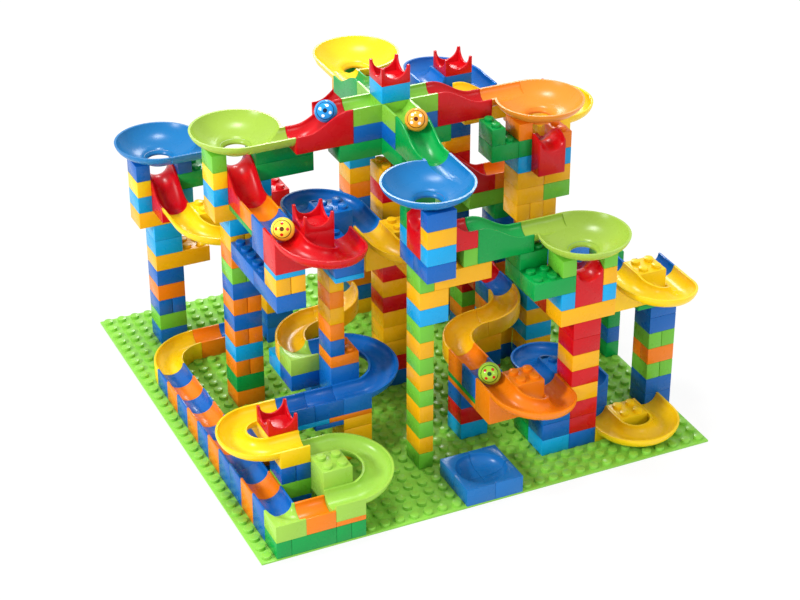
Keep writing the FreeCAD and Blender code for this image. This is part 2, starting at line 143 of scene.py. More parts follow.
def pick_faces(obj, test):
    """In edit mode, select the faces whose middle and normal pass the test."""
    bpy.ops.mesh.select_all(action="DESELECT")
    mesh = bmesh.from_edit_mesh(obj.data)
    for face in mesh.faces:
        if test(face.calc_center_median(), face.normal):
            face.select_set(True)
    bmesh.update_edit_mesh(obj.data)


def tidy(obj):
    """Merge doubles, close open ends and point the faces outwards."""
    with editing(obj):
        bpy.ops.mesh.remove_doubles(threshold=SMALL)
        bpy.ops.mesh.fill_holes(sides=0)
        bpy.ops.mesh.normals_make_consistent(inside=False)


def finish_with(obj, kind, **settings):
    """Add a modifier and apply it."""
    activate(obj)
    modifier = obj.modifiers.new(kind.lower(), kind)
    for name, value in settings.items():
        setattr(modifier, name, value)
    bpy.ops.object.modifier_apply(modifier=modifier.name)


def combine(obj, other, operation):
    """Join or cut one closed shape with another, which is used up."""
    finish_with(obj, "BOOLEAN", operation=operation, object=other, solver="EXACT")
    discard(other)


def soften(obj, width=EDGE, segments=2, angle=35):
    """Round the moulded edges and smooth what lies between them."""
    finish_with(obj, "BEVEL", width=width, segments=segments, limit_method="ANGLE",
                angle_limit=math.radians(angle), use_clamp_overlap=True)
    activate(obj)
    bpy.ops.object.shade_smooth_by_angle(angle=math.radians(angle))


def outline(name, points, filled=True):
    """A closed outline in the XZ plane, ready to be extruded, spun or screwed round."""
    mesh = bpy.data.meshes.new(name)
    count = len(points)
    edges = [] if filled else [(i, (i + 1) % count) for i in range(count)]
    mesh.from_pydata([(x, 0.0, z) for x, z in points], edges, [range(count)] if filled else [])
    obj = bpy.data.objects.new(name, mesh)
    bpy.context.collection.objects.link(obj)
    return obj


def drawn_out(name, points, way):
    """A closed bar: an outline extruded along way."""
    obj = outline(name, points)
    with editing(obj):
        bpy.ops.mesh.extrude_region_move(TRANSFORM_OT_translate={"value": tuple(way)})
    tidy(obj)
    return obj


def turned(name, points, steps=64):
    """A round shape: an outline of radii and heights spun about the upright axis."""
    obj = outline(name, points, filled=False)
    with editing(obj):
        bpy.ops.mesh.spin(steps=steps, angle=2 * math.pi, center=(0, 0, 0), axis=(0, 0, 1))
    tidy(obj)
    return obj


def block(name, low, high):
    """A cube primitive between two corners."""
    low, high = Vector(low), Vector(high)
    bpy.ops.mesh.primitive_cube_add(size=1, location=(low + high) / 2, scale=high - low)
    obj = bpy.context.object
    obj.name = name
    bpy.ops.object.transform_apply(location=True, rotation=True, scale=True)
    return obj


def move(obj, offset):
    """Move a piece's mesh and leave its object at the origin."""
    obj.data.transform(Matrix.Translation(offset))


def discard(*objects):
    """Remove templates and cutters that have done their work."""
    for obj in objects:
        bpy.data.objects.remove(obj)


def placed(x, y, level, quarter=0, mirrored=False):
    """Where a copy stands: its spot, its quarter turns and whether it is the mirrored kind."""
    matrix = Matrix.Translation(spot(x, y, level)) @ Matrix.Rotation(math.radians(90 * quarter), 4, "Z")
    return matrix @ Matrix.Diagonal((-1, 1, 1, 1)) if mirrored else matrix


def gather(name, copies):
    """One object of many copies: a list of template objects and the matrices they stand at."""
    whole = bmesh.new()
    for template, matrix in copies:
        mesh = template.data.copy()
        mesh.transform(matrix)
        if matrix.determinant() < 0:
            mesh.flip_normals()
        whole.from_mesh(mesh)
        bpy.data.meshes.remove(mesh)
    mesh = bpy.data.meshes.new(name)
    whole.to_mesh(mesh)
    whole.free()
    obj = bpy.data.objects.new(name, mesh)
    bpy.context.collection.objects.link(obj)
    activate(obj)
    bpy.ops.object.shade_smooth_by_angle(angle=math.radians(35))
    return obj


# ---- What stands in the open ----
def solid_tree():
    """All the carried-over solids as one search tree."""
    points, faces = [], []
    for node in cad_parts.values():
        first = len(points)
        points += [vert.co.copy() for vert in node.data.vertices]
        faces += [[first + i for i in face.vertices] for face in node.data.polygons]
    return BVHTree.FromPolygons(points, faces)


TREE = solid_tree()


def is_open(point):
    """Whether a stud at this place on a top face has nothing on or over it."""
    reach = STUD_RADIUS * 0.8
    for dx, dy in ((0, 0), (reach, 0), (-reach, 0), (0, reach), (0, -reach)):
        start = point + Vector((dx, dy, PITCH * 0.02))
        hit, normal, _, distance = TREE.ray_cast(start, Vector((0, 0, 1)))
        if hit is not None and (normal.z > 0 or distance < STUD_HEIGHT):
            return False
    return True


def boxes_of(node):
    """Low and high corners of each plain brick in a node. Each brick is twelve triangles in a row."""
    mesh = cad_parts[node].data
    faces = [[mesh.vertices[i].co for i in face.vertices] for face in mesh.polygons]
    found = []
    for first in range(0, len(faces), 12):
        corners = [co for face in faces[first:first + 12] for co in face]
        low = Vector([min(co[i] for co in corners) for i in range(3)])
        high = Vector([max(co[i] for co in corners) for i in range(3)])
        found.append((low, high))
    return found


# ---- Plastics ----
def moulded_group():
    """Moulded plastic: slow colour drift, satin patches and the faint ripple of the mould."""
    group = bpy.data.node_groups.new("moulded_plastic", "ShaderNodeTree")
    face = group.interface
    face.new_socket("Colour", in_out="INPUT", socket_type="NodeSocketColor")
    drift = face.new_socket("Drift", in_out="INPUT", socket_type="NodeSocketFloat")
    gloss = face.new_socket("Roughness", in_out="INPUT", socket_type="NodeSocketFloat")
    ripple = face.new_socket("Ripple", in_out="INPUT", socket_type="NodeSocketFloat")
    drift.default_value, gloss.default_value, ripple.default_value = 0.08, 0.2, 0.05
    face.new_socket("Colour", in_out="OUTPUT", socket_type="NodeSocketColor")
    face.new_socket("Roughness", in_out="OUTPUT", socket_type="NodeSocketFloat")
    face.new_socket("Normal", in_out="OUTPUT", socket_type="NodeSocketVector")
    nodes, link = group.nodes, group.links.new
    given, out = nodes.new("NodeGroupInput"), nodes.new("NodeGroupOutput")
    place = nodes.new("ShaderNodeTexCoord")
    island = nodes.new("ShaderNodeNewGeometry")

    def noise(scale, detail):
        texture = nodes.new("ShaderNodeTexNoise")
        texture.inputs["Scale"].default_value = scale
        texture.inputs["Detail"].default_value = detail
        link(place.outputs["Object"], texture.inputs["Vector"])
        return texture.outputs["Fac"]

    def sum_of(operation, first, second):
        node = nodes.new("ShaderNodeMath")
        node.operation = operation
        for socket, value in zip(node.inputs, (first, second)):
            if isinstance(value, (int, float)):
                socket.default_value = value
            else:
                link(value, socket)
        return node.outputs[0]

    tone = sum_of("ADD", noise(14, 2), island.outputs["Random Per Island"])
    tone = sum_of("SUBTRACT", tone, 1.0)
    tone = sum_of("MULTIPLY", tone, given.outputs["Drift"])
    shade = nodes.new("ShaderNodeHueSaturation")
    link(sum_of("ADD", tone, 1.0), shade.inputs["Value"])
    link(given.outputs["Colour"], shade.inputs["Color"])
    link(shade.outputs["Color"], out.inputs["Colour"])
    satin = sum_of("SUBTRACT", noise(60, 4), 0.5)
    satin = sum_of("MULTIPLY", satin, 0.25)
    link(sum_of("ADD", satin, given.outputs["Roughness"]), out.inputs["Roughness"])
    bump = nodes.new("ShaderNodeBump")
    bump.inputs["Distance"].default_value = 0.0004
    link(given.outputs["Ripple"], bump.inputs["Strength"])
    link(noise(110, 2), bump.inputs["Height"])
    link(bump.outputs["Normal"], out.inputs["Normal"])
    return group


MOULDED = moulded_group()


def plastic(name, colour, roughness=0.28, ripple=0.04, drift=0.10):
    """A glossy moulded plastic of one colour."""
    material = bpy.data.materials.new(name)
    material.use_nodes = True
    nodes, link = material.node_tree.nodes, material.node_tree.links.new
    shader = nodes["Principled BSDF"]
    effect = nodes.new("ShaderNodeGroup")
    effect.node_tree = MOULDED
    effect.inputs["Colour"].default_value = (*colour, 1)
    effect.inputs["Drift"].default_value = drift
    effect.inputs["Roughness"].default_value = roughness
    effect.inputs["Ripple"].default_value = ripple
    link(effect.outputs["Colour"], shader.inputs["Base Color"])
    link(effect.outputs["Roughness"], shader.inputs["Roughness"])
    link(effect.outputs["Normal"], shader.inputs["Normal"])
    shader.inputs["Specular IOR Level"].default_value = 0.3
    return material


PLASTICS = {name: plastic(name + "_plastic", colour) for name, colour in COLOURS.items()}
# Lighter copies of the plastics, their colour partly painted light: painted highlights and brightening
# against shade.
PALE_AND_PAINTED_LIGHT_PLASTICS = {node: plastic(f"pale_and_painted_light_{node}", colour) for node, colour in PALE_AND_PAINTED_LIGHT.items()}


def colour_of(node):
    """The colour that a node's name ends in, longest name first."""
    for colour in sorted(COLOURS, key=len, reverse=True):
        if node.endswith(colour):
            return colour
    return "grass_green"


def dress(obj, node, *also, body="root"):
    """Give a finished piece its plastic and its body, and hide the node it stands for."""
    colour = colour_of(node)
    obj.data.materials.clear()
    # Some nodes take a lighter copy whose colour is partly painted light.
    obj.data.materials.append(PALE_AND_PAINTED_LIGHT_PLASTICS.get(node, PLASTICS[colour]))
    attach(obj, body)
    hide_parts(node, *also)


# ---- Bricks ----
def stud_template():
    """One stud, its foot sunk a little so that it grows out of its brick."""
    sink = 0.0003
    bpy.ops.mesh.primitive_cylinder_add(vertices=20, radius=STUD_RADIUS, depth=STUD_HEIGHT + sink,
                                        location=(0, 0, (STUD_HEIGHT - sink) / 2))
    obj = bpy.context.object
    bpy.ops.object.transform_apply(location=True, rotation=True, scale=True)
    with editing(obj):
        pick_faces(obj, lambda middle, normal: normal.z > 0.9)
        bpy.ops.mesh.bevel(offset=0.0006, segments=2, affect="EDGES")
        pick_faces(obj, lambda middle, normal: normal.z < -0.9)
        bpy.ops.mesh.delete(type="FACE")
    obj.name = "stud"
    return obj


def brick_template(size):
    """A brick of one size with rounded edges."""
    obj = block("brick", size * -0.5, size * 0.5)
    with editing(obj):
        bpy.ops.mesh.bevel(offset=EDGE, segments=2, affect="EDGES")
    return obj


STUD = stud_template()
templates = {}
# Where two narrower bricks stand side by side: x, y and level, and along which axis (x 0, y 1).
SIDE_BY_SIDE = {
    (5, 17, 2): 0, (5, 17, 4): 0, (5, 17, 6): 0, (5, 17, 8): 0, (5, 17, 10): 0,
    (3, 27, 2): 0, (3, 4, 2): 0, (30, 5, 2): 0, (30, 5, 4): 0, (30, 5, 3): 1,
    (5, 9, 10.7): 0, (24, 13, 12): 0, (24, 13, 10): 0, (13, 4, 12): 1,
}


def side_by_side(low, high):
    """A brick's box, or two boxes where a pair of narrower bricks stands."""
    place = (round((low.x - plate_low.x) / PITCH), round((low.y - plate_low.y) / PITCH),
             round((low.z - plate_high.z) / LEVEL, 1))
    if place not in SIDE_BY_SIDE:
        return [(low, high)]
    way = SIDE_BY_SIDE[place]
    first_end, second_start = high.copy(), low.copy()
    middle = (low[way] + high[way]) / 2
    first_end[way], second_start[way] = middle - SEAM, middle + SEAM
    return [(low, first_end), (second_start, high)]


def studs_on(low, high):
    """The open stud places on the top of a box."""
    wide, deep = round((high.x - low.x) / PITCH), round((high.y - low.y) / PITCH)
    places = [Vector((low.x + (i + 0.5) * PITCH, low.y + (j + 0.5) * PITCH, high.z))
              for i in range(wide) for j in range(deep)]
    return [(STUD, Matrix.Translation(place)) for place in places if is_open(place)]


def bricks(node):
    """Every brick of a node, each with the studs that nothing covers."""
    copies = []
    for box in boxes_of(node):
        copies += studs_on(*box)
        for low, high in side_by_side(*box):
            size = high - low
            key = tuple(round(side, 4) for side in size)
            if key not in templates:
                templates[key] = brick_template(size)
            copies.append((templates[key], Matrix.Translation((low + high) / 2)))
    dress(gather(node + "_bricks", copies), node)


def baseplate():
    """The plate with a stud wherever nothing stands on it."""
    plate = block("plate", plate_low, plate_high)
    with editing(plate):
        pick_points(plate, lambda co: True)
        bpy.ops.mesh.bevel(offset=EDGE, segments=2, affect="EDGES")
    copies = [(plate, Matrix.Identity(4))] + studs_on(plate_low, plate_high)
    obj = gather("baseplate_studded", copies)
    discard(plate)
    obj.data.materials.clear()
    obj.data.materials.append(PLASTICS["grass_green"])
    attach(obj, "root")
    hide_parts("baseplate")


# ---- Track sections, rim at z 0 ----
def groove():
    """The round of a groove, from the left rim to the right."""
    half = HALF - WALL
    angles = [math.pi * i / GROOVE_STEPS for i in range(GROOVE_STEPS + 1)]
    return [(-half * math.cos(a), -DEPTH * math.sin(a)) for a in angles]


def shifted(points, shift, lift):
    """Points of an outline moved sideways and up."""
    return [(x + shift, z + lift) for x, z in points]


def section(height):
    """A channel block: flat outside, with the groove in its top."""
    return [(-HALF, 0.0)] + groove() + [(HALF, 0.0), (HALF, -height), (-HALF, -height)]


def shell_section():
    """A bend's rounded shell. Its underside is half an ellipse, listed from the right."""
    angles = [math.pi * i / GROOVE_STEPS for i in range(1, GROOVE_STEPS)]
    underside = [(HALF * math.cos(a), -SHELL * math.sin(a)) for a in angles]
    return [(-HALF, 0.0)] + groove() + [(HALF, 0.0)] + underside


def air(clear, reach=HALF * 1.1):
    """The space in and above a groove, which cuts it out of a block."""
    return [(-reach, 0.0)] + groove() + [(reach, 0.0), (reach, clear), (-reach, clear)]


# ---- Pieces of track, made once and copied ----
def channel(height, length=2):
    """A straight, level channel block, length studs long."""
    obj = drawn_out("channel", shifted(section(height), 0, height), (0, length * PITCH, 0))
    soften(obj)
    return obj


def curve(points, angle, radius, height, rise=0.0, steps=28):
    """A bend that starts on the -X side and swings round -Y, open at both ends."""
    obj = outline("curve", shifted(points, -radius, height), filled=False)
    finish_with(obj, "SCREW", angle=math.radians(angle), steps=steps, render_steps=steps,
                screw_offset=rise, use_merge_vertices=False, use_smooth_shade=False)
    return obj


def quarter_bend(height=LEVEL):
    """A quarter turn of track, three studs from its axis to the middle of its groove."""
    obj = curve(section(height), 90, TURN + PITCH, height, steps=16)
    tidy(obj)
    soften(obj)
    return obj


def square_off(vert, side, rim, foot):
    """Move a vertex of a shell's underside down to the flat foot of a leg. Others stay."""
    x, z = vert.co.x - side * TURN, vert.co.z - rim
    if z < -SMALL and abs((x / HALF) ** 2 + (z / SHELL) ** 2 - 1) < 0.001:
        share = math.acos(max(-1, min(1, x / HALF))) / math.pi
        share = max(0.0, min(1.0, (share * GROOVE_STEPS - 1) / (GROOVE_STEPS - 2)))
        vert.co.x = side * TURN + HALF * (1 - 2 * share)
        vert.co.z = foot


def u_turn(rise, studs, panel):
    """A U turn with legs towards +Y. With a rise, its high leg is the one on the +X side.
    The bend is a rounded shell. The legs are full blocks, but the high one only with a panel."""
    obj = curve(shell_section(), 180, TURN, LEVEL, rise)
    with editing(obj):
        pick_points(obj, lambda co: abs(co.y) < SMALL)
        bpy.ops.mesh.extrude_region_move(TRANSFORM_OT_translate={"value": (0, 0, 0)})
        mesh = bmesh.from_edit_mesh(obj.data)
        for vert in mesh.verts:
            if vert.select:
                side = 1 if vert.co.x > 0 else -1
                if side < 0 or panel:
                    square_off(vert, side, LEVEL + rise * (side > 0), 0)
        bmesh.update_edit_mesh(obj.data)
        bpy.ops.mesh.extrude_region_move(TRANSFORM_OT_translate={"value": (0, 2 * PITCH, 0)})
    tidy(obj)
    soften(obj, width=LARGE_EDGE, segments=3)
    top = LEVEL + rise
    middle = block("turn_block", (-PITCH, 0, 0), (PITCH, 2 * PITCH, top))
    with editing(middle):
        bpy.ops.mesh.bevel(offset=EDGE, segments=2, affect="EDGES")
    parts = [(obj, Matrix.Identity(4)), (middle, Matrix.Identity(4))]
    if studs:
        parts += [(STUD, Matrix.Translation((x * PITCH, y * PITCH, top)))
                  for x in (-0.5, 0.5) for y in (0.5, 1.5)]
    whole = gather("turn", parts)
    discard(obj, middle)
    return whole


def eased(share):
    """From 1 down to 0 along half a cosine wave, level beyond both ends."""
    return (1 + math.cos(math.pi * max(0.0, min(1.0, share)))) / 2


def steep_rim(along):
    """Levels above the foot: up over a crest near the high end, then down and out level."""
    if along < CREST_ALONG:
        return 2.0 + CREST_RISE * math.sin(math.pi / 2 * along / CREST_ALONG)
    return 1.0 + (1 + CREST_RISE) * eased((along - CREST_ALONG) / FALL_LENGTH)


def gentle_rim(along):
    """Levels above the foot: one level down over three studs, level at both ends."""
    return 1.0 + eased((along - 0.3) / 3)


def slide(name, rim, steps=24, length=4):
    """A slide with upright sides, its rim at a height that depends on the studs along it."""
    foot = -2 * LEVEL
    obj = outline(name, section(-foot))
    with editing(obj):
        for _ in range(steps):
            bpy.ops.mesh.extrude_region_move(
                TRANSFORM_OT_translate={"value": (0, length * PITCH / steps, 0)})
        for vert in bmesh.from_edit_mesh(obj.data).verts:
            at_foot = vert.co.z < foot + SMALL
            vert.co.z = 0.0 if at_foot else vert.co.z + rim(vert.co.y / PITCH) * LEVEL
        bmesh.update_edit_mesh(obj.data)
    tidy(obj)
    soften(obj, width=LARGE_EDGE)
    return obj


def corner(height=LEVEL):
    """A channel block whose groove turns from its +X side to its +Y side."""
    body = block("corner", (-HALF, -HALF, 0), (HALF, HALF, height))
    cutter = outline("air", shifted(air(0.002, reach=HALF - WALL), -HALF, height))
    with editing(cutter):
        bpy.ops.mesh.spin(steps=16, angle=-math.pi / 2, center=(0, 0, 0), axis=(0, 0, 1))
    tidy(cutter)
    move(cutter, (HALF, HALF, 0))
    combine(body, cutter, "DIFFERENCE")
    soften(body)
    return body


def bowl_curve(start, pull, end, steps=12):
    """Radii and heights along a curve from start to end, drawn towards a third point."""
    curve_points = []
    for i in range(steps + 1):
        t = i / steps
        weights = ((1 - t) ** 2, 2 * t * (1 - t), t ** 2)
        curve_points.append(tuple(sum(w * p[axis] for w, p in zip(weights, (start, pull, end)))
                                  for axis in (0, 1)))
    return curve_points


def funnel(height=LEVEL):
    """A round bowl with a hole in its middle, a neck below and a track along its edge."""
    hole, inside = NECK_RADIUS - FUNNEL_WALL, FUNNEL_RADIUS - FUNNEL_WALL
    outside_curve = bowl_curve((FUNNEL_FOOT, 0), (FUNNEL_RADIUS - 0.0015, 0.0085),
                               (FUNNEL_RADIUS, height))
    body = turned("funnel", [(0, -NECK_DEPTH), (NECK_RADIUS, -NECK_DEPTH), (NECK_RADIUS, 0)]
                  + outside_curve + [(0, height)])
    lip = drawn_out("lip", shifted(shell_section(), 0, height), (0, FUNNEL_RADIUS, 0))
    groove_air = drawn_out("air", shifted(air(0.004), 0, height), (0, FUNNEL_RADIUS + PITCH, 0))
    for piece in (lip, groove_air):
        piece.data.transform(Matrix.Rotation(math.radians(-90), 4, "Z"))
        move(piece, (0, -TURN, 0))
    combine(body, lip, "UNION")
    throat = bowl_curve((hole, 0.002 - NECK_DEPTH), (0.0156, 0.0012), (0.0210, 0.0024), 6)
    hollow = turned("hollow", [(0, -2 * NECK_DEPTH), (hole, -2 * NECK_DEPTH)] + throat
                    + bowl_curve((0.0210, 0.0024), (0.0388, 0.0064), (inside, height))[1:]
                    + [(inside, height + 0.001), (0, height + 0.001)])
    combine(body, hollow, "DIFFERENCE")
    combine(body, groove_air, "DIFFERENCE")
    soften(body, width=LARGE_EDGE, segments=3, angle=30)
    return body


def crown():
    """A hollow square crown with a blunt spike on each corner."""
    body = block("crown", (-PITCH, -PITCH, 0), (PITCH, PITCH, LEVEL))
    with editing(body):
        pick_faces(body, lambda middle, normal: normal.z > 0.9)
        bpy.ops.mesh.inset(thickness=CROWN_WALL)
        bpy.ops.mesh.extrude_region_move(
            TRANSFORM_OT_translate={"value": (0, 0, CROWN_WALL - LEVEL)})
    for turn in ("X", "Y"):
        bpy.ops.mesh.primitive_cylinder_add(vertices=48, radius=PITCH - CROWN_TIP, depth=4 * PITCH)
        scoop = bpy.context.object
        scoop.data.transform(Matrix.Rotation(math.radians(90), 4, turn))
        move(scoop, (0, 0, LEVEL))
        combine(body, scoop, "DIFFERENCE")
    soften(body, width=0.0005)
    return body


# ---- Placing the track ----
def all_turns():
    """U turns: rise, studs, panel, then x, y, level, quarter turns and whether mirrored."""
    plan = {
        "lime": [(LEVEL, True, True, 7, 3, 1 + THIN, 1, False)],
        "blue": [(LEVEL, False, True, 11, 11, 3, 1, False), (LEVEL, True, True, 11, 15, 11, 2, False),
                 (LEVEL, True, True, 24, 7, 2, 2, False), (LEVEL, False, True, 26, 9, 8, 2, False),
                 (LEVEL, False, True, 24, 24, 14, 2, False)],
        "red": [(LEVEL, False, True, 8, 9, 12, 0, True)],
        "amber": [(LEVEL, True, True, 15, 11, 10, 0, True)],
        "orange": [(LEVEL, True, True, 20, 3, 3, 0, True)],
        "yellow": [(LEVEL, True, True, 30, 5, 7, 0, True), (LEVEL, True, False, 6, 23, 8, 0, True),
                   (0, False, True, 3, 7, 3, 3, False), (0, True, True, 28, 3, 0, 0, False),
                   (0, False, True, 29, 18, 14, 1, False)],
    }
    made = {}
    for colour, places in plan.items():
        copies = []
        for *kind, x, y, level, quarter, mirrored in places:
            key = tuple(kind)
            if key not in made:
                made[key] = u_turn(*key)
            copies.append((made[key], placed(x, y, level, quarter, mirrored)))
        dress(gather(f"u_turns_{colour}", copies), f"turns_{colour}")
    discard(*made.values())


def all_straights():
    """Level channel blocks: colour, x, y of one end, foot, rim and quarter turns."""
    low = 3 + 2 * THIN
    start = 1 + RAMP_STEP
    plan = [("orange", 3, 1, 1, 2, 3), ("orange", 5, 25, 0, start, 3), ("blue", 7, 25, 0, start, 3),
            ("blue", 5, 9, 3, 4, 3), ("blue", 7, 9, 3, 4, 3), ("blue", 6, 11, 12, 14, 0),
            ("orange", 6, 13, 13, 14, 0), ("blue", 18, 5, low, 5, 0), ("orange", 18, 7, low, 5, 0),
            ("blue", 24, 15, 4, 5, 0), ("blue", 32, 7, 7, 8, 0), ("orange", 26, 21, 9, 10, 3)]
    for colour in ("orange", "blue"):
        made = [(channel((top - foot) * LEVEL), placed(x, y, foot, quarter))
                for kind, x, y, foot, top, quarter in plan if kind == colour]
        dress(gather(f"straights_{colour}", made), f"channels_{colour}")
        discard(*(template for template, _ in made))


def ramp():
    """Ten channel blocks down the left side, each a tenth of a level lower than the last."""
    order = "blue orange blue blue orange blue orange blue orange blue".split()
    for colour in ("blue", "orange"):
        made = [(channel((2 - RAMP_STEP * number) * LEVEL), placed(2, 2 + 2 * number, 0))
                for number, kind in enumerate(order) if kind == colour]
        dress(gather(f"ramp_{colour}", made), f"ramp_blocks_{colour}")
        discard(*(template for template, _ in made))


def spread(template, name, node, places):
    """Copies of one template at x, y, level and quarter turns, as the piece for a node."""
    dress(gather(name, [(template, placed(*place)) for place in places]), node)


def all_slides():
    """The steep and the gentle slides."""
    steep = slide("steep_slide", steep_rim)
    spread(steep, "steep_red", "steep_slides_red",
           [(6, 19, 13, 2), (13, 6, 13, 3), (26, 12, 13, 0), (19, 26, 13, 1), (24, 3, 9, 0),
            (4, 29, 9, 2), (24, 21, 4, 2), (22, 21, 9, 3)])
    gentle = slide("gentle_slide", gentle_rim)
    spread(gentle, "gentle_red", "gentle_slides_red", [(13, 16, 16, 1), (19, 16, 16, 3)])
    spread(gentle, "gentle_dark_green", "gentle_slides_dark_green",
           [(16, 13, 16, 2), (16, 19, 16, 0), (17, 6, 12, 3)])
    spread(gentle, "gentle_yellow", "gentle_slides_yellow", [(23, 20, 14, 3)])
    discard(steep, gentle)


def all_crowns():
    """The crowns that close the middle of turns and of the cross."""
    points = crown()
    spread(points, "crowns", "crowns_red",
           [(4, 7, 4), (8, 10, 14), (16, 16, 19), (24, 23, 16), (28, 18, 15)])
    discard(points)


def all_corners():
    """The two corner blocks."""
    block_with_corner = corner()
    spread(block_with_corner, "corner_channels", "corners_lime", [(2, 1, 1), (8, 13, 4)])
    discard(block_with_corner)


def all_bends():
    """The quarter bends at level four, and the low one that ends the ramp."""
    level, first = quarter_bend(), quarter_bend((1 + RAMP_STEP) * LEVEL)
    copies = [(level, placed(x, y, 4, quarter)) for x, y, quarter in
              ((11, 14, 3), (11, 20, 1), (21, 9, 3), (21, 15, 1))]
    dress(gather("quarter_bends_amber", copies), "bends_amber")
    dress(gather("quarter_bend_yellow", [(first, placed(5, 22, 0, 3))]), "bends_yellow")
    discard(level, first)


def all_funnels():
    """The funnels, of one shape in four colours."""
    bowl = funnel()
    spread(bowl, "bowls_lime", "funnels_lime", [(6, 18, 16, 0), (24, 4, 12, 2)])
    spread(bowl, "bowls_blue", "funnels_blue", [(14, 6, 16, 1), (4, 28, 12, 0)])
    spread(bowl, "bowls_orange", "funnels_orange", [(26, 14, 16, 2)])
    spread(bowl, "bowls_yellow", "funnels_yellow", [(18, 26, 16, 3)])
    discard(bowl)


def plus(name, layer, arm):
    """One layer of the cross: two beams that reach arm studs from its middle."""
    x, y, foot = CROSS_PLACE
    low, high = foot + layer, foot + layer + 1
    along = block(name, spot(x - arm, y - 1, low), spot(x + arm, y + 1, high))
    across = block("across", spot(x - 1, y - arm, low), spot(x + 1, y + arm, high))
    combine(along, across, "UNION")
    return along


def cross():
    """The three layers of the cross, the last with a groove along each arm."""
    x, y, level = CROSS_PLACE
    foot = plus("cross_foot", 0, 4)
    soften(foot)
    dress(foot, "cross_foot_dark_green")
    middle = plus("cross_middle", 1, 3)
    soften(middle)
    dress(middle, "cross_middle_blue")
    top = plus("cross_top", 2, 3)
    for quarter in range(4):
        cutter = drawn_out("groove_air", air(LEVEL), (0, 3 * PITCH, 0))
        move(cutter, (0, PITCH, 0))
        cutter.data.transform(placed(x, y, level + 3, quarter))
        combine(top, cutter, "DIFFERENCE")
    soften(top)
    dress(top, "cross_channels_lime")


def dish_tile():
    """Four bricks that share a round dish."""
    dish = turned("dish", [(0, -DISH_DEPTH)]
                  + bowl_curve((0.008, -DISH_DEPTH), (DISH_RADIUS * 0.95, -DISH_DEPTH), (DISH_RADIUS, 0))
                  + [(DISH_RADIUS, 0.002), (0, 0.002)])
    middle_x, middle_y = DISH_PLACE
    move(dish, spot(middle_x, middle_y, 1))
    quarters = []
    gap = Vector((SEAM, SEAM, 0))
    for x, y in ((middle_x + i, middle_y + j) for j in (-2, 0) for i in (-2, 0)):
        quarter = block("quarter", spot(x, y, 0) + gap, spot(x + 2, y + 2, 1) - gap)
        cutter = dish.copy()
        cutter.data = dish.data.copy()
        bpy.context.collection.objects.link(cutter)
        combine(quarter, cutter, "DIFFERENCE")
        soften(quarter)
        quarters.append((quarter, Matrix.Identity(4)))
    dress(gather("dish_tile", quarters), "bowl_tile_blue")
    discard(dish, *(quarter for quarter, _ in quarters))


# ---- Balls ----
def band_group():
    """A mask of one round band on a ball, between two angles from a direction."""
    group = bpy.data.node_groups.new("ball_band", "ShaderNodeTree")
    face = group.interface
    for name in ("Centre", "Direction"):
        face.new_socket(name, in_out="INPUT", socket_type="NodeSocketVector")
    for name in ("Cosine near", "Cosine far"):
        face.new_socket(name, in_out="INPUT", socket_type="NodeSocketFloat")
    face.new_socket("Mask", in_out="OUTPUT", socket_type="NodeSocketFloat")
    nodes, link = group.nodes, group.links.new
    given, out = nodes.new("NodeGroupInput"), nodes.new("NodeGroupOutput")
    place = nodes.new("ShaderNodeTexCoord")
    steps = [nodes.new("ShaderNodeVectorMath") for _ in range(3)]
    for step, operation in zip(steps, ("SUBTRACT", "NORMALIZE", "DOT_PRODUCT")):
        step.operation = operation
    link(place.outputs["Object"], steps[0].inputs[0])
    link(given.outputs["Centre"], steps[0].inputs[1])
    link(steps[0].outputs["Vector"], steps[1].inputs[0])
    link(steps[1].outputs["Vector"], steps[2].inputs[0])
    link(given.outputs["Direction"], steps[2].inputs[1])
    edges = []
    for operation, bound in (("LESS_THAN", "Cosine near"), ("GREATER_THAN", "Cosine far")):
        edge = nodes.new("ShaderNodeMath")
        edge.operation = operation
        link(steps[2].outputs["Value"], edge.inputs[0])
        link(given.outputs[bound], edge.inputs[1])
        edges.append(edge)
    both = nodes.new("ShaderNodeMath")
    both.operation = "MULTIPLY"
    link(edges[0].outputs[0], both.inputs[0])
    link(edges[1].outputs[0], both.inputs[1])
    link(both.outputs[0], out.inputs["Mask"])
    return group


def print_on(material, band, centre, ink, marks):
    """Print round marks in one ink: each is a direction and the angles where it starts and ends."""
    nodes, link = material.node_tree.nodes, material.node_tree.links.new
    shader = nodes["Principled BSDF"]
    under = shader.inputs["Base Color"].links[0].from_socket
    for direction, start, end in marks:
        mark = nodes.new("ShaderNodeGroup")
        mark.node_tree = band
        mark.inputs["Centre"].default_value = centre
        mark.inputs["Direction"].default_value = direction.normalized()
        past_all = 2.0      # no cosine reaches it, so a mark from 0 degrees has no hole
        near = math.cos(math.radians(start)) if start else past_all
        mark.inputs["Cosine near"].default_value = near
        mark.inputs["Cosine far"].default_value = math.cos(math.radians(end))
        mix = nodes.new("ShaderNodeMix")
        mix.data_type = "RGBA"
        link(mark.outputs["Mask"], mix.inputs["Factor"])
        link(under, mix.inputs["A"])
        mix.inputs["B"].default_value = (*ink, 1)
        under = mix.outputs["Result"]
    link(under, shader.inputs["Base Color"])


# Plastic, ink of the ring, ink of the dots, and how far the print is rolled round its middle.
BALLS = {
    "blue": ((0.015, 0.27, 0.70), (0.003, 0.012, 0.05), (0.92, 0.92, 0.92), 20),
    "orange": ((0.92, 0.37, 0.03), (0.10, 0.015, 0.003), (0.92, 0.90, 0.85), 50),
    "yellow": ((0.95, 0.72, 0.06), (0.12, 0.03, 0.003), (0.70, 0.008, 0.012), 0),
    "green": ((0.36, 0.66, 0.05), (0.015, 0.08, 0.01), (0.55, 0.02, 0.015), 35),
}


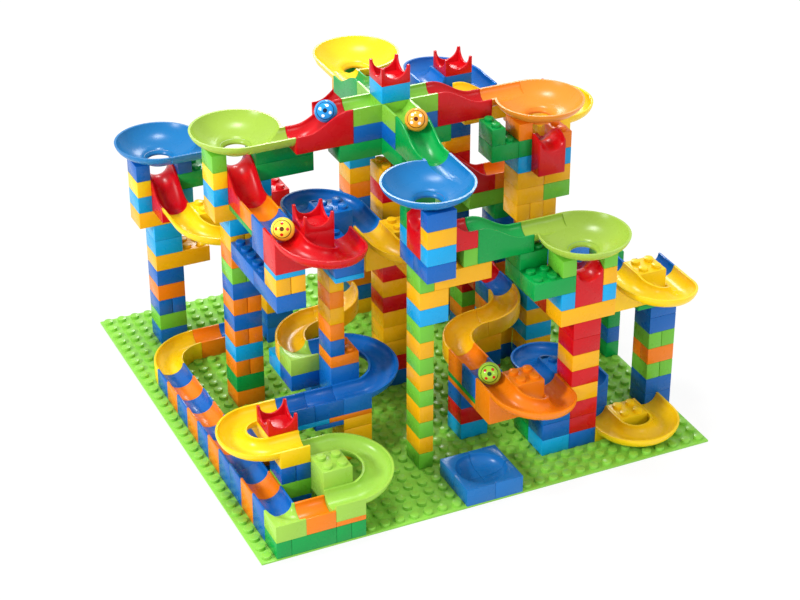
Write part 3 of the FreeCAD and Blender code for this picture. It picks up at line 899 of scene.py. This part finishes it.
PRINT_FACES = (-0.42, -0.80, 0.50)   # the way the print on a ball faces
RING = (45, 50)                      # degrees from the middle of the print
HUB = (0, 11)
DOT = (0, 8)                         # about a dot's own middle
DOTS_AT = 28.65                      # degrees from the middle of the print to that of a dot


def balls():
    """Round balls with a ring and dots printed on the side that faces the front left."""
    band = band_group()
    middle = Vector(PRINT_FACES).normalized()
    across = middle.cross(Vector((0, 0, 1))).normalized()
    up = across.cross(middle)
    for colour, (paint, ring_ink, dot_ink, roll) in BALLS.items():
        node = f"ball_{colour}"
        low, high = (Vector(corner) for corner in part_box(node))
        radius = (high.z - low.z) / 2
        bpy.ops.mesh.primitive_uv_sphere_add(segments=48, ring_count=24, radius=radius,
                                             location=(low + high) / 2)
        obj = bpy.context.object
        obj.name = f"round_{node}"
        bpy.ops.object.transform_apply(location=True, rotation=True, scale=True)
        bpy.ops.object.shade_smooth()
        material = plastic(f"ball_{colour}_plastic", paint, roughness=0.14)
        dots = []
        for number in range(4):
            turn = math.radians(roll + 90 * number)
            aside = math.cos(turn) * across + math.sin(turn) * up
            lean = math.radians(DOTS_AT)
            dots.append((middle * math.cos(lean) + aside * math.sin(lean), *DOT))
        print_on(material, band, (low + high) / 2, ring_ink, [(middle, *RING), (middle, *HUB)])
        print_on(material, band, (low + high) / 2, dot_ink, dots)
        obj.data.materials.append(material)
        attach(obj, f"{colour}_ball")
        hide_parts(node)


# ---- Studio ----
AZIMUTH, ELEVATION, ROLL = -25.598, 29.516, 0.315        # of the camera, in degrees
CAMERA_PLACE = (-0.82542, -1.80629, 1.25184)


def camera():
    """The viewing angle: turned to the left, thirty degrees up, with a long lens."""
    data = bpy.data.cameras.new("view")
    obj = bpy.data.objects.new("view", data)
    bpy.context.collection.objects.link(obj)
    turn = (Matrix.Rotation(math.radians(AZIMUTH), 4, "Z")
            @ Matrix.Rotation(math.radians(90 - ELEVATION), 4, "X")
            @ Matrix.Rotation(math.radians(ROLL), 4, "Z"))
    obj.matrix_world = Matrix.Translation(CAMERA_PLACE) @ turn
    data.lens, data.sensor_width = 94.30, 36
    data.shift_x, data.shift_y = -0.02924, -0.02388
    data.clip_end = 50
    bpy.context.scene.camera = obj


def lamp(name, place, size, power):
    """A square soft light that looks at the middle of the run."""
    data = bpy.data.lights.new(name, "AREA")
    data.shape, data.size, data.energy = "SQUARE", size, power
    obj = bpy.data.objects.new(name, data)
    bpy.context.collection.objects.link(obj)
    obj.location = place
    obj.rotation_euler = (Vector((0, 0, 0.15)) - Vector(place)).to_track_quat("-Z", "Y").to_euler()


def by_ray(nodes, link, to_eye, to_rest):
    """Show one shader to the camera, to gloss and through glass, and the other to plain light."""
    path = nodes.new("ShaderNodeLightPath")
    seen = path.outputs["Is Camera Ray"]
    for name in ("Is Glossy Ray", "Is Transmission Ray"):
        either = nodes.new("ShaderNodeMath")
        either.operation = "MAXIMUM"
        link(seen, either.inputs[0])
        link(path.outputs[name], either.inputs[1])
        seen = either.outputs[0]
    mix = nodes.new("ShaderNodeMixShader")
    link(seen, mix.inputs["Fac"])
    link(to_rest, mix.inputs[1])
    link(to_eye, mix.inputs[2])
    return mix.outputs[0]


def glow(nodes, kind, strength):
    """The output of a white shader that gives off its own light."""
    node = nodes.new(kind)
    node.inputs["Strength"].default_value = strength
    return node.outputs[0]


def floor():
    """A plain white floor that keeps a faint shadow."""
    bpy.ops.mesh.primitive_plane_add(size=12, location=(0, 0, -0.0002))
    obj = bpy.context.object
    obj.name = "studio_floor"
    material = bpy.data.materials.new("studio_floor")
    material.use_nodes = True
    nodes, link = material.node_tree.nodes, material.node_tree.links.new
    lit = nodes["Principled BSDF"]
    lit.inputs["Base Color"].default_value = (0.93, 0.93, 0.93, 1)
    lit.inputs["Roughness"].default_value = 0.8
    white = nodes.new("ShaderNodeMixShader")
    white.inputs["Fac"].default_value = 0.88
    link(lit.outputs[0], white.inputs[1])
    link(glow(nodes, "ShaderNodeEmission", 1.0), white.inputs[2])
    shown = by_ray(nodes, link, white.outputs[0], lit.outputs[0])
    link(shown, nodes["Material Output"].inputs["Surface"])
    obj.data.materials.append(material)


def studio():
    """Floor, white world and four soft lights."""
    floor()
    world = bpy.data.worlds.new("studio")
    bpy.context.scene.world = world
    world.use_nodes = True
    nodes, link = world.node_tree.nodes, world.node_tree.links.new
    nodes.clear()
    shades = [glow(nodes, "ShaderNodeBackground", strength) for strength in (1.0, 0.9)]
    out = nodes.new("ShaderNodeOutputWorld")
    link(by_ray(nodes, link, *shades), out.inputs["Surface"])
    lamp("left_softbox", (-2.4, -0.5, 1.5), 0.45, 46)
    lamp("top_softbox", (-0.2, 0.3, 2.6), 0.5, 30)
    lamp("front_softbox", (0.9, -2.4, 1.2), 0.6, 9)
    lamp("back_softbox", (1.0, 2.3, 1.7), 0.6, 20)
    bpy.context.scene.view_settings.view_transform = "Standard"


# ---- The whole run ----
camera()
for node in sorted(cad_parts):
    if node.startswith(("bricks_", "plates_")):
        bricks(node)
baseplate()
all_turns()
all_straights()
ramp()
all_slides()
all_bends()
all_funnels()
all_crowns()
cross()
all_corners()
dish_tile()
balls()
discard(STUD, *templates.values())
studio()
